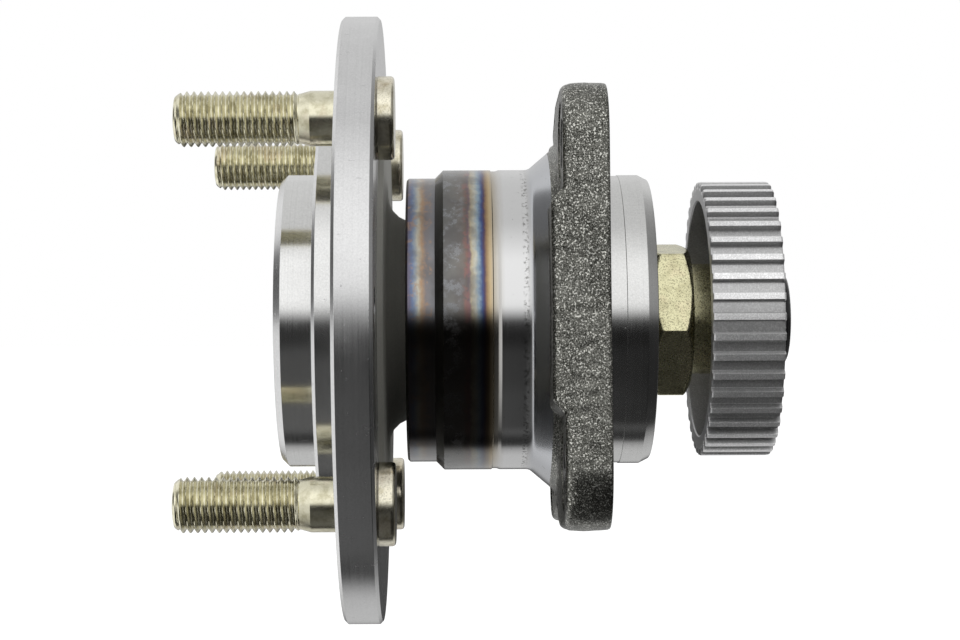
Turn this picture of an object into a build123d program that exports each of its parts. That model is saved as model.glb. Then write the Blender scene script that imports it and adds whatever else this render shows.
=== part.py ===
from build123d import *
import math
import os

# A rear wheel hub bearing unit: a flanged hub that turns in two rows of balls inside an outer ring,
# whose cast mounting flange bolts to the wheel carrier. A hex nut with a long shank clamps the
# bearing and carries the toothed ring that the wheel speed sensor reads.
# Millimetres. X is the spin axis with +X inboard, +Z is up, and the origin is on the axis in the
# plane of the mounting flange's inboard face. Clock angles run from the top towards the front (-Y).

# How far a cutter runs past the face it goes through
CUT_MARGIN = 1.0

# Bearing: two rows of balls, and the race shoulders beside them
PITCH_RADIUS = 23.4
BALL_COUNT = 12
BALL_GAP = 1.79
RACE_CLEARANCE = 0.2
OUTER_SHOULDER_RISE = 2.6
OUTER_LOW_SHOULDER_LIP = 0.56
INNER_LAND_DROP = 1.5
INNER_LOW_SHOULDER_LIP = 1.56
INNER_RING_WALL = 4.04
INNER_RING_PROUD = 0.4
INNER_RING_EDGE = 0.8
INNER_RING_OFFSET = 1.0

# Ball cages
CAGE_LAND_CLEARANCE = 0.3
CAGE_BACK_WALL = 1.84
CAGE_FRONT = 3.0
CAGE_OUTBOARD_GAP = 0.6
CAGE_INBOARD_GAP = 1.8
POCKET_CLEARANCE = 0.2

# Seals
SEAL_BORE_STEP = 0.94
SEAL_BORE_DEPTH = 6.3
SEAL_SHEET = 0.8
SEAL_CASE_LENGTH = 5.4
SEAL_RECESS = 0.5
SEAL_WEB_RISE = 2.2
LIP_CLEARANCE = 0.2
LIP_LENGTH = 2.6
SLINGER_GAP = 0.5

# Outer ring, lengths measured from the mounting flange's inboard face
RING_OUTBOARD_REACH = 43.0
RING_WALL = 5.2
NOSE_WALL = 2.45
NOSE_LENGTH = 6.4
NOSE_STEP_LENGTH = 1.8
CONE_START = 15.7
CONE_SLOPE = 0.85
GROOVE_STATION = 23.3
GROOVE_WIDTH = 1.8
GROOVE_DEPTH = 0.25
RING_EDGE_CHAMFER = 0.5

# Inboard pilot of the outer ring, which centres the unit in the carrier
PILOT_WALL = 3.0
CARRIER_PILOT_LENGTH = 11.2
CARRIER_PILOT_LEAD = 2.2
CARRIER_PILOT_LEAD_DEPTH = 1.1
PILOT_RELIEF_LENGTH = 4.4
PILOT_RELIEF_DEPTH = 0.15

# Cast mounting flange with an ear at each corner; the far pair of ears is a little smaller
EAR_COUNT = 4
EAR_CIRCLE_STEP = 15.04
EAR_RADIUS = 13.0
FAR_EAR_RADIUS = 11.5
EAR_CLOCK = 40.0
EAR_THICKNESS = 9.8
FAR_EAR_THICKNESS = 9.0
SHOULDER_SPREAD = 17.5
SHOULDER_ROUND = 10.0
SHOULDER_LIFT = 0.3
CORE_STEP = 1.9
HULL_INSET = 1.0
PAD_THICKNESS = 12.3
PAD_WIDTH = 44.0
PARTING_STATION = 4.6
DRAFT_ANGLE = 4.0
CAST_EDGE_ROUND = 1.6
CAST_ROOT_ROUND = 2.0
FACE_EDGE_ROUND = 0.6
CARRIER_HOLE_RADIUS = 5.3
SPOT_FACE_MARGIN = 2.5
SPOT_FACE_DEPTH = 0.4

# Hub: flange, pilots, neck and spindle
HUB_TO_RING_GAP = 4.3
HUB_WEB_RISE = 1.3
HUB_WEB_BEVEL = 1.6
HUB_FLANGE_THICKNESS = 8.4
HUB_RIM_CHAMFER = 0.7
DISC_PILOT_MARGIN = 5.75
DISC_PILOT_LENGTH = 5.3
WHEEL_PILOT_STEP = 11.9
WHEEL_PILOT_LENGTH = 8.9
WHEEL_PILOT_CHAMFER = 1.5
PILOT_CHAMFER = 0.7
RECESS_WALL = 5.6
RECESS_TAPER = 8.0
RECESS_DEPTH = 20.0
RECESS_ROUND = 4.0
NECK_STEP = 0.45
NECK_ROUND = 6.0
SPINDLE_SHOULDER_STEP = 1.2
THREAD_STEP = 3.0
JOURNAL_SETBACK = 2.0
HUB_EDGE = 0.8

# Wheel studs and the other holes of the hub flange
STUD_COUNT = 4
STUD_CIRCLE_STEP = 8.15
STUD_CLOCK = 42.0
STUD_RADIUS = 6.0
STUD_LENGTH = 34.1
STUD_POINT_LENGTH = 1.9
STUD_POINT_DROP = 1.0
STUD_SHOULDER_DROP = 0.18
STUD_SHOULDER_LENGTH = 5.4
STUD_TAPER_LENGTH = 2.3
STUD_ROOT_DROP = 0.8
STUD_KNURL_RISE = 0.4
STUD_KNURL_SETBACK = 0.6
STUD_HEAD_RISE = 2.8
STUD_HEAD_THICKNESS = 3.8
STUD_HEAD_ROUND = 0.8
STUD_WEB_GAP = 2.35
STUD_RIM_MARGIN = 2.55
SCREW_HOLE_RADIUS = 3.4
HUB_HOLE_CLOCK_OFFSET = 45.0

# Spindle nut
SHANK_WALL = 1.5
NUT_WALL = 3.5
NUT_HEX_LENGTH = 9.0
NUT_CHAMFER_INSET = 0.3
NUT_CHAMFER_SLOPE = 0.58
NUT_CLOCK = 38.5
SHANK_LENGTH = 18.0
SHANK_CHAMFER = 0.6
THREAD_CLEARANCE = 0.1

# Toothed ring of the wheel speed sensor
TOOTH_COUNT = 47
TOOTH_TIP_RADIUS = 31.07
TOOTH_HEIGHT = 1.5
TOOTH_TIP_WIDTH = 1.5
TOOTH_ROOT_WIDTH = 1.9
TOOTH_CLOCK = 3.0
TONE_RING_GAP = 2.3
TONE_RING_WALL = 2.97
TONE_RING_WEB = 2.4
TONE_RING_EDGE = 0.4
TONE_RING_HUB_WALL = 3.0
TONE_RING_HUB_LENGTH = 5.0

# End cap in the nut's bore
CAP_HEAD_INSET = 0.9
CAP_HEAD_THICKNESS = 4.3
CAP_ROUND = 3.0
CAP_PLUG_LENGTH = 3.4
CAP_CLEARANCE = 0.05
SPINDLE_END_GAP = 1.7

# Radii worked out from the sizes above
BALL_RADIUS = PITCH_RADIUS * math.sin(math.pi / BALL_COUNT) - BALL_GAP / 2
OUTER_RACE_RADIUS = PITCH_RADIUS + BALL_RADIUS + RACE_CLEARANCE
INNER_RACE_RADIUS = PITCH_RADIUS - BALL_RADIUS - RACE_CLEARANCE
OUTER_SHOULDER_RADIUS = PITCH_RADIUS + OUTER_SHOULDER_RISE
OUTER_LOW_SHOULDER_RADIUS = OUTER_RACE_RADIUS - OUTER_LOW_SHOULDER_LIP
INNER_LAND_RADIUS = PITCH_RADIUS - INNER_LAND_DROP
INNER_LOW_SHOULDER_RADIUS = INNER_RACE_RADIUS + INNER_LOW_SHOULDER_LIP
CAGE_HALF_DEPTH = INNER_LAND_DROP - CAGE_LAND_CLEARANCE
CAGE_BACK = BALL_RADIUS + CAGE_BACK_WALL
SEAL_BORE_RADIUS = OUTER_RACE_RADIUS + SEAL_BORE_STEP
SEAL_WEB_RADIUS = PITCH_RADIUS + SEAL_WEB_RISE
NOSE_RADIUS = SEAL_BORE_RADIUS + NOSE_WALL
BARREL_RADIUS = OUTER_RACE_RADIUS + RING_WALL
CARRIER_PILOT_RADIUS = SEAL_BORE_RADIUS + PILOT_WALL
CONE_END_RADIUS = BARREL_RADIUS + CONE_SLOPE * (CONE_START - EAR_THICKNESS)
CORE_RADIUS = CONE_END_RADIUS + CORE_STEP
EAR_CIRCLE_RADIUS = BARREL_RADIUS + EAR_CIRCLE_STEP
SPOT_FACE_RADIUS = FAR_EAR_RADIUS - SPOT_FACE_MARGIN
JOURNAL_RADIUS = INNER_RACE_RADIUS - INNER_RING_WALL
THREAD_RADIUS = JOURNAL_RADIUS - THREAD_STEP
SPINDLE_SHOULDER_RADIUS = INNER_LOW_SHOULDER_RADIUS - SPINDLE_SHOULDER_STEP
NECK_RADIUS = INNER_LAND_RADIUS + NECK_STEP
STUD_CIRCLE_RADIUS = EAR_CIRCLE_RADIUS + STUD_CIRCLE_STEP
STUD_HEAD_RADIUS = STUD_RADIUS + STUD_HEAD_RISE
STUD_SHOULDER_RADIUS = STUD_RADIUS - STUD_SHOULDER_DROP
STUD_KNURL_RADIUS = STUD_RADIUS + STUD_KNURL_RISE
HUB_WEB_RADIUS = STUD_CIRCLE_RADIUS - STUD_HEAD_RADIUS - STUD_WEB_GAP
HUB_FLANGE_RADIUS = STUD_CIRCLE_RADIUS + STUD_HEAD_RADIUS + STUD_RIM_MARGIN
DISC_PILOT_RADIUS = STUD_CIRCLE_RADIUS - STUD_KNURL_RADIUS - DISC_PILOT_MARGIN
WHEEL_PILOT_RADIUS = DISC_PILOT_RADIUS - WHEEL_PILOT_STEP
RECESS_MOUTH_RADIUS = WHEEL_PILOT_RADIUS - RECESS_WALL
RECESS_FLOOR_RADIUS = RECESS_MOUTH_RADIUS - RECESS_TAPER
SHANK_RADIUS = THREAD_RADIUS + SHANK_WALL
NUT_HALF_FLATS = SHANK_RADIUS + NUT_WALL
NUT_CHAMFER_RADIUS = NUT_HALF_FLATS - NUT_CHAMFER_INSET
TOOTH_ROOT_RADIUS = TOOTH_TIP_RADIUS - TOOTH_HEIGHT
TONE_RING_BORE_RADIUS = TOOTH_ROOT_RADIUS - TONE_RING_WALL
TONE_RING_HUB_RADIUS = SHANK_RADIUS + TONE_RING_HUB_WALL
CAP_HEAD_RADIUS = SHANK_RADIUS - CAP_HEAD_INSET

# Stations worked out from the sizes above
RING_END = -RING_OUTBOARD_REACH
SEAL_LENGTH = SEAL_RECESS + SEAL_CASE_LENGTH
OUTBOARD_BALLS = RING_END + SEAL_LENGTH + CAGE_OUTBOARD_GAP + CAGE_BACK
INBOARD_BALLS = CARRIER_PILOT_LENGTH - SEAL_LENGTH - CAGE_INBOARD_GAP - CAGE_BACK
WEB_FACE = RING_END - HUB_TO_RING_GAP
RIM_FACE = WEB_FACE - HUB_WEB_RISE
DISC_FACE = RIM_FACE - HUB_FLANGE_THICKNESS
DISC_PILOT_END = DISC_FACE - DISC_PILOT_LENGTH
WHEEL_PILOT_END = DISC_PILOT_END - WHEEL_PILOT_LENGTH
INNER_RING_END = CARRIER_PILOT_LENGTH + INNER_RING_PROUD
INNER_RING_START = (OUTBOARD_BALLS + INBOARD_BALLS) / 2 + INNER_RING_OFFSET
JOURNAL_END = INNER_RING_END - JOURNAL_SETBACK
HEX_END = INNER_RING_END + NUT_HEX_LENGTH
SHANK_END = HEX_END + SHANK_LENGTH
THREAD_END = SHANK_END - CAP_PLUG_LENGTH - SPINDLE_END_GAP
TONE_RING_START = HEX_END + TONE_RING_GAP
TONE_RING_END = SHANK_END


def turned(points, rounds=()):
    """A solid turned about the spin axis from (station, radius) points.

    rounds lists corners of that outline to round off, each as a point and a radius."""
    outline = make_face(Polyline(*points, close=True))
    for corner, size in rounds:
        nearest = outline.vertices().sort_by_distance((*corner, 0))[0]
        outline = fillet(nearest, size)
    return revolve(Plane.XZ * outline, Axis.X)


def rod(start, end, radius):
    """A plain cylinder along the spin axis."""
    return turned([(start, 0), (end, 0), (end, radius), (start, radius)])


def tube(start, end, inner, outer):
    """A plain ring about the spin axis."""
    return turned([(start, inner), (end, inner), (end, outer), (start, outer)])


def clocked(shape, angle):
    """The shape turned about the spin axis by a clock angle."""
    return Rot(X=angle) * shape


def off_axis(shape, radius, angle):
    """The shape moved out from the spin axis by a radius and turned to a clock angle."""
    return clocked(Pos(Z=radius) * shape, angle)


def race(station):
    """The ring of space that one row of balls runs in."""
    groove = Torus(PITCH_RADIUS, BALL_RADIUS + RACE_CLEARANCE)
    return Pos(X=station) * Rot(Y=90) * groove


def spread(count, start):
    """Clock angles of a pattern spaced evenly round the axis."""
    return [start + 360 / count * index for index in range(count)]


def flange_circle(radius, across, up):
    """A circle of the flange's outline; across runs away from the near side, up runs to the upper ears."""
    turn = math.radians(EAR_CLOCK - 45)
    back = across * math.cos(turn) - up * math.sin(turn)
    height = up * math.cos(turn) + across * math.sin(turn)
    return Pos(back, height) * Circle(radius)


def flange_half(side, ear_radius, shoulders):
    """Half of the flange's outline: two ears, and the shoulders between them, drawn tight to the core."""
    reach = EAR_CIRCLE_RADIUS * math.sqrt(0.5)
    circles = Sketch() + Circle(CORE_RADIUS - HULL_INSET)
    for up in (-1, 1):
        circles += flange_circle(ear_radius, side * reach, up * reach)
        if shoulders:
            height = reach + ear_radius + SHOULDER_LIFT - SHOULDER_ROUND
            circles += flange_circle(SHOULDER_ROUND, side * SHOULDER_SPREAD, up * height)
    return make_hull(circles.edges())


def cast_half(outline, thickness):
    """One half of the cast flange, drafted both ways from its parting line."""
    outline = Plane.YZ.offset(-PARTING_STATION) * outline
    inboard = extrude(outline, amount=PARTING_STATION, taper=DRAFT_ANGLE)
    inboard = fillet(inboard.faces().sort_by(Axis.X)[-1].edges(), FACE_EDGE_ROUND)
    outboard = extrude(outline, amount=PARTING_STATION - thickness, taper=DRAFT_ANGLE)
    outboard = fillet(outboard.faces().sort_by(Axis.X)[0].edges(), CAST_EDGE_ROUND)
    return inboard + outboard


def cast_flange():
    """The cast flange: a near half, a slightly smaller far half, and a thick pad on each side."""
    near_outline = flange_half(-1, EAR_RADIUS, True)
    far_outline = flange_half(1, FAR_EAR_RADIUS, False)
    flange = cast_half(near_outline, EAR_THICKNESS) + cast_half(far_outline, FAR_EAR_THICKNESS)
    reach = 2 * (EAR_CIRCLE_RADIUS + EAR_RADIUS)
    strip = Box(2 * PAD_THICKNESS, PAD_WIDTH, reach)
    strip = fillet(strip.edges().filter_by(Axis.Z), CAST_ROOT_ROUND * 2)
    strip = clocked(strip, EAR_CLOCK + 45)
    for outline in (near_outline, far_outline):
        outline = Plane.YZ.offset(-PARTING_STATION) * outline
        thick = extrude(outline, amount=PARTING_STATION - PAD_THICKNESS, taper=DRAFT_ANGLE)
        flange += thick & strip
    return flange


def make_outer_ring():
    """The outer ring: both outer races, the seal seats, the mounting flange and the carrier pilot."""
    nose_end = RING_END + NOSE_LENGTH
    barrel_start = nose_end + NOSE_STEP_LENGTH
    pilot_end = CARRIER_PILOT_LENGTH
    relief_radius = CARRIER_PILOT_RADIUS - PILOT_RELIEF_DEPTH
    body = turned(
        [
            (RING_END, 0),
            (RING_END, NOSE_RADIUS - RING_EDGE_CHAMFER),
            (RING_END + RING_EDGE_CHAMFER, NOSE_RADIUS),
            (nose_end, NOSE_RADIUS),
            (barrel_start, BARREL_RADIUS),
            (-CONE_START, BARREL_RADIUS),
            (-EAR_THICKNESS, CONE_END_RADIUS),
            (-EAR_THICKNESS, CORE_RADIUS),
            (0, CORE_RADIUS),
            (0, relief_radius),
            (PILOT_RELIEF_LENGTH, relief_radius),
            (PILOT_RELIEF_LENGTH, CARRIER_PILOT_RADIUS),
            (pilot_end - CARRIER_PILOT_LEAD, CARRIER_PILOT_RADIUS),
            (pilot_end, CARRIER_PILOT_RADIUS - CARRIER_PILOT_LEAD_DEPTH),
            (pilot_end, 0),
        ],
        rounds=[((-EAR_THICKNESS, CONE_END_RADIUS), CAST_ROOT_ROUND)],
    )
    body += cast_flange()
    groove_start = -GROOVE_STATION - GROOVE_WIDTH / 2
    groove_floor = BARREL_RADIUS - GROOVE_DEPTH
    body -= tube(groove_start, groove_start + GROOVE_WIDTH, groove_floor, BARREL_RADIUS + CUT_MARGIN)
    body -= rod(RING_END - CUT_MARGIN, pilot_end + CUT_MARGIN, OUTER_SHOULDER_RADIUS)
    body -= rod(RING_END - CUT_MARGIN, OUTBOARD_BALLS, OUTER_LOW_SHOULDER_RADIUS)
    body -= rod(INBOARD_BALLS, pilot_end + CUT_MARGIN, OUTER_LOW_SHOULDER_RADIUS)
    body -= rod(RING_END - CUT_MARGIN, RING_END + SEAL_BORE_DEPTH, SEAL_BORE_RADIUS)
    body -= rod(pilot_end - SEAL_BORE_DEPTH, pilot_end + CUT_MARGIN, SEAL_BORE_RADIUS)
    body -= race(OUTBOARD_BALLS)
    body -= race(INBOARD_BALLS)
    hole = rod(-PAD_THICKNESS - CUT_MARGIN, CUT_MARGIN, CARRIER_HOLE_RADIUS)
    spot_face = rod(-PAD_THICKNESS - CUT_MARGIN, SPOT_FACE_DEPTH - EAR_THICKNESS, SPOT_FACE_RADIUS)
    for angle in spread(EAR_COUNT, EAR_CLOCK):
        body -= off_axis(hole, EAR_CIRCLE_RADIUS, angle)
        body -= off_axis(spot_face, EAR_CIRCLE_RADIUS, angle)
    return body


def make_hub():
    """The hub: wheel and disc pilots, stud flange, neck with the outboard inner race, and spindle."""
    land_end = RING_END + SEAL_LENGTH
    spindle_end = INNER_RING_START
    body = turned(
        [
            (WHEEL_PILOT_END, 0),
            (WHEEL_PILOT_END, WHEEL_PILOT_RADIUS - WHEEL_PILOT_CHAMFER),
            (WHEEL_PILOT_END + WHEEL_PILOT_CHAMFER, WHEEL_PILOT_RADIUS),
            (DISC_PILOT_END, WHEEL_PILOT_RADIUS),
            (DISC_PILOT_END, DISC_PILOT_RADIUS - PILOT_CHAMFER),
            (DISC_PILOT_END + PILOT_CHAMFER, DISC_PILOT_RADIUS),
            (DISC_FACE, DISC_PILOT_RADIUS),
            (DISC_FACE, HUB_FLANGE_RADIUS - HUB_RIM_CHAMFER),
            (DISC_FACE + HUB_RIM_CHAMFER, HUB_FLANGE_RADIUS),
            (RIM_FACE - HUB_RIM_CHAMFER, HUB_FLANGE_RADIUS),
            (RIM_FACE, HUB_FLANGE_RADIUS - HUB_RIM_CHAMFER),
            (RIM_FACE, HUB_WEB_RADIUS + HUB_WEB_BEVEL),
            (WEB_FACE, HUB_WEB_RADIUS),
            (WEB_FACE, NECK_RADIUS),
            (land_end, NECK_RADIUS),
            (land_end, INNER_LAND_RADIUS),
            (OUTBOARD_BALLS, INNER_LAND_RADIUS),
            (OUTBOARD_BALLS, INNER_LOW_SHOULDER_RADIUS),
            (OUTBOARD_BALLS + BALL_RADIUS, INNER_LOW_SHOULDER_RADIUS),
            (OUTBOARD_BALLS + BALL_RADIUS, SPINDLE_SHOULDER_RADIUS),
            (spindle_end, SPINDLE_SHOULDER_RADIUS),
            (spindle_end, JOURNAL_RADIUS),
            (JOURNAL_END - HUB_EDGE, JOURNAL_RADIUS),
            (JOURNAL_END, THREAD_RADIUS),
            (THREAD_END - HUB_EDGE, THREAD_RADIUS),
            (THREAD_END, THREAD_RADIUS - HUB_EDGE),
            (THREAD_END, 0),
        ],
        rounds=[((WEB_FACE, NECK_RADIUS), NECK_ROUND)],
    )
    body -= race(OUTBOARD_BALLS)
    floor = WHEEL_PILOT_END + RECESS_DEPTH
    body -= turned(
        [
            (WHEEL_PILOT_END - CUT_MARGIN, 0),
            (WHEEL_PILOT_END - CUT_MARGIN, RECESS_MOUTH_RADIUS),
            (WHEEL_PILOT_END, RECESS_MOUTH_RADIUS),
            (floor, RECESS_FLOOR_RADIUS),
            (floor, 0),
        ],
        rounds=[((floor, RECESS_FLOOR_RADIUS), RECESS_ROUND)],
    )
    stud_hole = rod(DISC_FACE - CUT_MARGIN, RIM_FACE + CUT_MARGIN, STUD_KNURL_RADIUS)
    screw_hole = rod(DISC_FACE - CUT_MARGIN, WEB_FACE + CUT_MARGIN, SCREW_HOLE_RADIUS)
    for angle in spread(STUD_COUNT, STUD_CLOCK):
        body -= off_axis(stud_hole, STUD_CIRCLE_RADIUS, angle)
    for angle in spread(2, STUD_CLOCK + HUB_HOLE_CLOCK_OFFSET):
        body -= off_axis(screw_hole, STUD_CIRCLE_RADIUS, angle)
    return body


def make_wheel_stud(angle):
    """A wheel stud pressed in from inboard: round head, knurl, plain shoulder, then the threaded length."""
    tip = DISC_FACE - STUD_LENGTH
    shoulder = DISC_FACE - STUD_SHOULDER_LENGTH
    knurl = DISC_FACE + STUD_KNURL_SETBACK
    head_end = RIM_FACE + STUD_HEAD_THICKNESS
    body = turned(
        [
            (tip, 0),
            (tip, STUD_RADIUS - STUD_POINT_DROP),
            (tip + STUD_POINT_LENGTH, STUD_RADIUS),
            (shoulder - STUD_TAPER_LENGTH, STUD_RADIUS),
            (shoulder - STUD_TAPER_LENGTH, STUD_RADIUS - STUD_ROOT_DROP),
            (shoulder, STUD_SHOULDER_RADIUS),
            (knurl, STUD_SHOULDER_RADIUS),
            (knurl, STUD_KNURL_RADIUS),
            (RIM_FACE, STUD_KNURL_RADIUS),
            (RIM_FACE, STUD_HEAD_RADIUS),
            (head_end, STUD_HEAD_RADIUS),
            (head_end, 0),
        ],
        rounds=[((head_end, STUD_HEAD_RADIUS), STUD_HEAD_ROUND)],
    )
    return off_axis(body, STUD_CIRCLE_RADIUS, angle)


def make_inner_ring():
    """The inboard inner race, a separate ring pressed on the spindle's journal."""
    body = turned(
        [
            (INNER_RING_START, JOURNAL_RADIUS + INNER_RING_EDGE),
            (INNER_RING_START + INNER_RING_EDGE, JOURNAL_RADIUS),
            (INNER_RING_END, JOURNAL_RADIUS),
            (INNER_RING_END, INNER_LAND_RADIUS - INNER_RING_EDGE),
            (INNER_RING_END - INNER_RING_EDGE, INNER_LAND_RADIUS),
            (INBOARD_BALLS, INNER_LAND_RADIUS),
            (INBOARD_BALLS, INNER_LOW_SHOULDER_RADIUS),
            (INNER_RING_START, INNER_LOW_SHOULDER_RADIUS),
        ]
    )
    return body - race(INBOARD_BALLS)


def make_cage(station, back):
    """A crown cage: a ring with a round pocket for each ball, closed on the back side (-1 or +1)."""
    ends = sorted([station + back * CAGE_BACK, station - back * CAGE_FRONT])
    body = tube(*ends, PITCH_RADIUS - CAGE_HALF_DEPTH, PITCH_RADIUS + CAGE_HALF_DEPTH)
    pocket = Sphere(BALL_RADIUS + POCKET_CLEARANCE)
    for angle in spread(BALL_COUNT, 0):
        body -= off_axis(Pos(X=station) * pocket, PITCH_RADIUS, angle)
    return body


def make_ball(station, angle):
    """One bearing ball."""
    return off_axis(Pos(X=station) * Sphere(BALL_RADIUS), PITCH_RADIUS, angle)


def seal_case(mouth, side):
    """The pressed steel case of a seal: a sleeve in the seal bore with a web at its inner end."""
    outer_end = mouth - side * SEAL_RECESS
    inner_end = outer_end - side * SEAL_CASE_LENGTH
    sleeve = tube(*sorted([outer_end, inner_end]), SEAL_BORE_RADIUS - SEAL_SHEET, SEAL_BORE_RADIUS)
    web = tube(*sorted([inner_end, inner_end + side * SEAL_SHEET]), SEAL_WEB_RADIUS, SEAL_BORE_RADIUS)
    return sleeve + web


def seal_lip(mouth, side, land_radius):
    """The rubber of a seal, moulded on the web of its case, with two lips over the land."""
    inner_end = mouth - side * SEAL_LENGTH
    web_face = inner_end + side * SEAL_SHEET
    lip_end = web_face + side * LIP_LENGTH
    tip_radius = land_radius + LIP_CLEARANCE
    heel_radius = SEAL_WEB_RADIUS + SEAL_SHEET
    mid = (web_face + lip_end) / 2
    return turned(
        [
            (inner_end, SEAL_WEB_RADIUS),
            (inner_end, tip_radius + SEAL_SHEET),
            (web_face, tip_radius),
            (mid, tip_radius + SEAL_SHEET),
            (lip_end, tip_radius),
            (lip_end, tip_radius + SEAL_SHEET),
            (web_face + side * SEAL_SHEET, heel_radius),
            (web_face, heel_radius),
            (web_face, SEAL_WEB_RADIUS),
        ]
    )


def make_inboard_slinger():
    """The steel flinger of the inboard seal, pressed on the inner ring."""
    outer_end = CARRIER_PILOT_LENGTH - SEAL_RECESS
    inner_end = outer_end - SEAL_CASE_LENGTH + SEAL_SHEET + LIP_LENGTH + SLINGER_GAP
    sleeve = tube(inner_end, outer_end, INNER_LAND_RADIUS, INNER_LAND_RADIUS + SEAL_SHEET)
    rim = SEAL_BORE_RADIUS - SEAL_SHEET - SLINGER_GAP
    return sleeve + tube(outer_end - SEAL_SHEET, outer_end, INNER_LAND_RADIUS, rim)


def make_spindle_nut():
    """The clamping nut: a hex chamfered at both ends and a long round shank."""
    corner = NUT_HALF_FLATS / math.cos(math.radians(30))
    bevel = NUT_CHAMFER_SLOPE * (corner - NUT_CHAMFER_RADIUS)
    hexagon = Plane.YZ.offset(INNER_RING_END) * RegularPolygon(corner, 6, rotation=90)
    hexagon = extrude(hexagon, amount=NUT_HEX_LENGTH)
    envelope = turned(
        [
            (INNER_RING_END, 0),
            (INNER_RING_END, NUT_CHAMFER_RADIUS),
            (INNER_RING_END + bevel, corner),
            (HEX_END - bevel, corner),
            (HEX_END, NUT_CHAMFER_RADIUS),
            (HEX_END, 0),
        ]
    )
    shank = turned(
        [
            (HEX_END, 0),
            (HEX_END, SHANK_RADIUS),
            (SHANK_END - SHANK_CHAMFER, SHANK_RADIUS),
            (SHANK_END, SHANK_RADIUS - SHANK_CHAMFER),
            (SHANK_END, 0),
        ]
    )
    body = clocked(hexagon, NUT_CLOCK) & envelope
    bore_radius = THREAD_RADIUS + THREAD_CLEARANCE
    return body + shank - rod(INNER_RING_END - CUT_MARGIN, SHANK_END + CUT_MARGIN, bore_radius)


def make_tone_ring():
    """The toothed ring: a rim with straight raised teeth, a web at its inboard end and a short hub."""
    tooth = make_face(
        Polyline(
            (-TOOTH_ROOT_WIDTH / 2, TOOTH_ROOT_RADIUS - TOOTH_HEIGHT),
            (-TOOTH_ROOT_WIDTH / 2, TOOTH_ROOT_RADIUS),
            (-TOOTH_TIP_WIDTH / 2, TOOTH_TIP_RADIUS),
            (TOOTH_TIP_WIDTH / 2, TOOTH_TIP_RADIUS),
            (TOOTH_ROOT_WIDTH / 2, TOOTH_ROOT_RADIUS),
            (TOOTH_ROOT_WIDTH / 2, TOOTH_ROOT_RADIUS - TOOTH_HEIGHT),
            close=True,
        )
    )
    profile = Circle(TOOTH_ROOT_RADIUS)
    for angle in spread(TOOTH_COUNT, TOOTH_CLOCK):
        profile += Rot(Z=angle) * tooth
    blank = extrude(Plane.YZ.offset(TONE_RING_START) * profile, amount=TONE_RING_END - TONE_RING_START)
    blank &= turned(
        [
            (TONE_RING_START, 0),
            (TONE_RING_START, TOOTH_TIP_RADIUS - TONE_RING_EDGE),
            (TONE_RING_START + TONE_RING_EDGE, TOOTH_TIP_RADIUS + TONE_RING_EDGE / 2),
            (TONE_RING_END - TONE_RING_EDGE, TOOTH_TIP_RADIUS + TONE_RING_EDGE / 2),
            (TONE_RING_END, TOOTH_TIP_RADIUS - TONE_RING_EDGE),
            (TONE_RING_END, 0),
        ]
    )
    cup_floor = TONE_RING_END - TONE_RING_WEB
    blank -= tube(TONE_RING_START - CUT_MARGIN, cup_floor, TONE_RING_HUB_RADIUS, TONE_RING_BORE_RADIUS)
    blank -= rod(TONE_RING_START - CUT_MARGIN, cup_floor - TONE_RING_HUB_LENGTH, TONE_RING_HUB_RADIUS)
    return blank - rod(TONE_RING_START - CUT_MARGIN, TONE_RING_END + CUT_MARGIN, SHANK_RADIUS)


def make_end_cap():
    """The plastic cap that closes the nut: a rounded head and a plug in the bore."""
    head_end = SHANK_END + CAP_HEAD_THICKNESS
    plug_radius = THREAD_RADIUS + THREAD_CLEARANCE - CAP_CLEARANCE
    return turned(
        [
            (SHANK_END - CAP_PLUG_LENGTH, 0),
            (SHANK_END - CAP_PLUG_LENGTH, plug_radius),
            (SHANK_END, plug_radius),
            (SHANK_END, CAP_HEAD_RADIUS),
            (head_end, CAP_HEAD_RADIUS),
            (head_end, 0),
        ],
        rounds=[((head_end, CAP_HEAD_RADIUS), CAP_ROUND)],
    )


def all_parts():
    """Every sub-part, by node name."""
    parts = {
        "outer_ring": make_outer_ring(),
        "outboard_seal_case": seal_case(RING_END, -1),
        "outboard_seal_lip": seal_lip(RING_END, -1, NECK_RADIUS),
        "inboard_seal_case": seal_case(CARRIER_PILOT_LENGTH, 1),
        "inboard_seal_lip": seal_lip(CARRIER_PILOT_LENGTH, 1, INNER_LAND_RADIUS + SEAL_SHEET),
        "hub": make_hub(),
        "inner_ring": make_inner_ring(),
        "inboard_slinger": make_inboard_slinger(),
        "spindle_nut": make_spindle_nut(),
        "tone_ring": make_tone_ring(),
        "end_cap": make_end_cap(),
        "outboard_cage": make_cage(OUTBOARD_BALLS, -1),
        "inboard_cage": make_cage(INBOARD_BALLS, 1),
    }
    for number, angle in enumerate(spread(STUD_COUNT, STUD_CLOCK), 1):
        parts[f"wheel_stud_{number}"] = make_wheel_stud(angle)
    for number, angle in enumerate(spread(BALL_COUNT, 0), 1):
        parts[f"outboard_ball_{number:02d}"] = make_ball(OUTBOARD_BALLS, angle)
        parts[f"inboard_ball_{number:02d}"] = make_ball(INBOARD_BALLS, angle)
    return parts


os.makedirs("parts", exist_ok=True)
for name, shape in all_parts().items():
    export_step(shape, f"parts/{name}.step")
    print(name, round(shape.volume, 1))
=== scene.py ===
# %% [markdown]
# # A wheel hub bearing, part by part
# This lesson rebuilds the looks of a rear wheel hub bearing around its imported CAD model. The CAD model is
# the frame: it fixes where each part sits and how it moves. Every visible surface is built here from short
# formulas, in millimetres, and each part then rides on the body it belongs to.

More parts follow.
